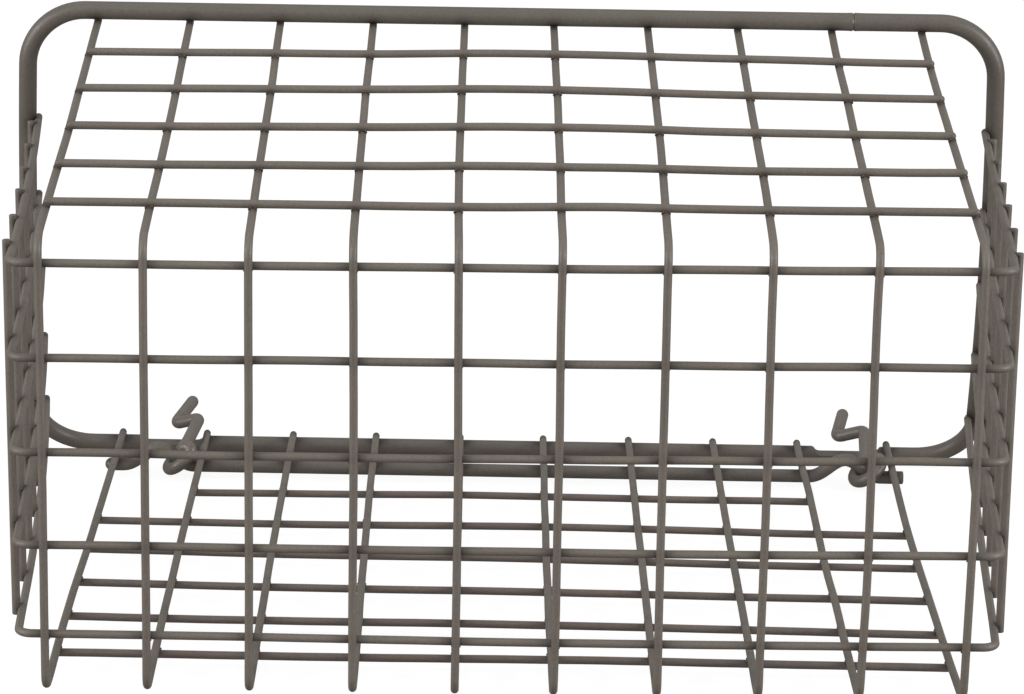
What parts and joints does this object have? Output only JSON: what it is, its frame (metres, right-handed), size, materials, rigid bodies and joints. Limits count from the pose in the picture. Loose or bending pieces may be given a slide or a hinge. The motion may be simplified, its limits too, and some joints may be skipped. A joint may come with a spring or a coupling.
{
  "type": "pegboard wire basket",
  "caption": "Open coated-wire storage basket with a bowed rod rim, a hanger bar at the back and loose swinging wire hooks that fit a pegboard.",
  "frame": {"origin": "middle of the footprint, at the height of the lowest point, the underside of the rim's lower bar", "axes": "+X across the basket, along the hanger bar; +Y from the closed end towards the mouth, which is up when the basket hangs on a board; +Z away from the board, up as the basket lies in the picture"},
  "size_m": [0.285, 0.221, 0.1488],
  "materials": {
    "wire_coat": "satin",
    "rim_coat": "satin",
    "bar_coat": "satin",
    "hook_coat": "satin"
  },
  "bodies": {
    "basket": {"belt_wire_1": "wire_coat", "belt_wire_2": "wire_coat", "belt_wire_3": "wire_coat", "belt_wire_4": "wire_coat", "belt_wire_5": "wire_coat", "floor_cross_wire_1": "wire_coat", "floor_cross_wire_2": "wire_coat", "floor_cross_wire_3": "wire_coat", "floor_cross_wire_4": "wire_coat", "floor_cross_wire_5": "wire_coat", "floor_cross_wire_6": "wire_coat", "hanger_bar": "bar_coat", "mesh_wire_01": "wire_coat", "mesh_wire_02": "wire_coat", "mesh_wire_03": "wire_coat", "mesh_wire_04": "wire_coat", "mesh_wire_05": "wire_coat", "mesh_wire_06": "wire_coat", "mesh_wire_07": "wire_coat", "mesh_wire_08": "wire_coat", "mesh_wire_09": "wire_coat", "mesh_wire_10": "wire_coat", "rim": "rim_coat", "side_wire_left_1": "wire_coat", "side_wire_left_2": "wire_coat", "side_wire_left_3": "wire_coat", "side_wire_left_4": "wire_coat", "side_wire_left_5": "wire_coat", "side_wire_left_6": "wire_coat", "side_wire_right_1": "wire_coat", "side_wire_right_2": "wire_coat", "side_wire_right_3": "wire_coat", "side_wire_right_4": "wire_coat", "side_wire_right_5": "wire_coat", "side_wire_right_6": "wire_coat", "slope_cross_wire_1": "wire_coat", "slope_cross_wire_2": "wire_coat", "slope_cross_wire_3": "wire_coat", "slope_cross_wire_4": "wire_coat", "slope_cross_wire_5": "wire_coat"},
    "left_hook": {"hook_left": "hook_coat"},
    "right_hook": {"hook_right": "hook_coat"}
  },
  "joints": [
    {"name": "left_hook_swing", "type": "hinge", "parent": "basket", "child": "left_hook", "pos_m": [-0.0963, 0.07322, 0.00538], "axis": [0.6085, 0.0844, -0.7891], "range_deg": [-12, 92]},
    {"name": "right_hook_swing", "type": "hinge", "parent": "basket", "child": "right_hook", "pos_m": [0.10702, 0.07115, 0.00532], "axis": [0.5841, 0.1664, -0.7944], "range_deg": [-4, 90]}
  ]
}
